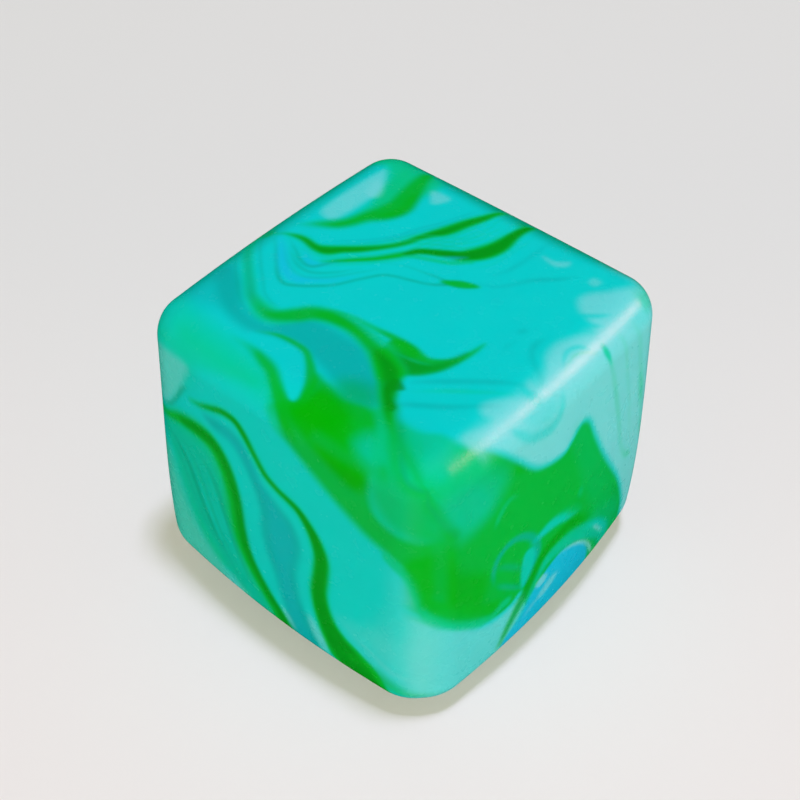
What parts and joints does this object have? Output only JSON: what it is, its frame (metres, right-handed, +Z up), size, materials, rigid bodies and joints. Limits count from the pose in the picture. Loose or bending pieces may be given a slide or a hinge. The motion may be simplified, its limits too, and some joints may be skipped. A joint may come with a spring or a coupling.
{
  "type": "squeeze cube",
  "caption": "Soft marbled squeeze cube: a moulded rubber skin over a stiff gel filling, plugged in its base; the top presses down and rises again.",
  "frame": {"origin": "middle of the base, on the surface the cube stands on", "axes": "+Z up through the middle of the top; +X and +Y square to two neighbouring sides"},
  "size_m": [0.0632, 0.0632, 0.0529],
  "materials": {
    "marbled_skin": "soft translucent rubber, marbled in deep green, cyan and frosted pale aqua, semi-matte with a soft sheen",
    "gel_filling": "cloudy pale aqua gel, stiff as dough, wet and smooth",
    "plug_rubber": "frosted plain aqua rubber, matte",
    "clear_adhesive": "clear set adhesive, slightly yellow, glossy"
  },
  "bodies": {
    "lower_half": {"skin_lower": "marbled_skin", "filling": "gel_filling", "fill_plug": "plug_rubber", "plug_seal": "clear_adhesive"},
    "upper_half": {"skin_upper": "marbled_skin"}
  },
  "joints": [
    {"name": "press_down", "type": "slide", "parent": "lower_half", "child": "upper_half", "axis": [0, 0, -1], "range_m": [0, 0.018], "stiffness_N_per_m": 1800, "springref_m": -0.001, "deforming": ["skin_lower", "filling"]}
  ]
}
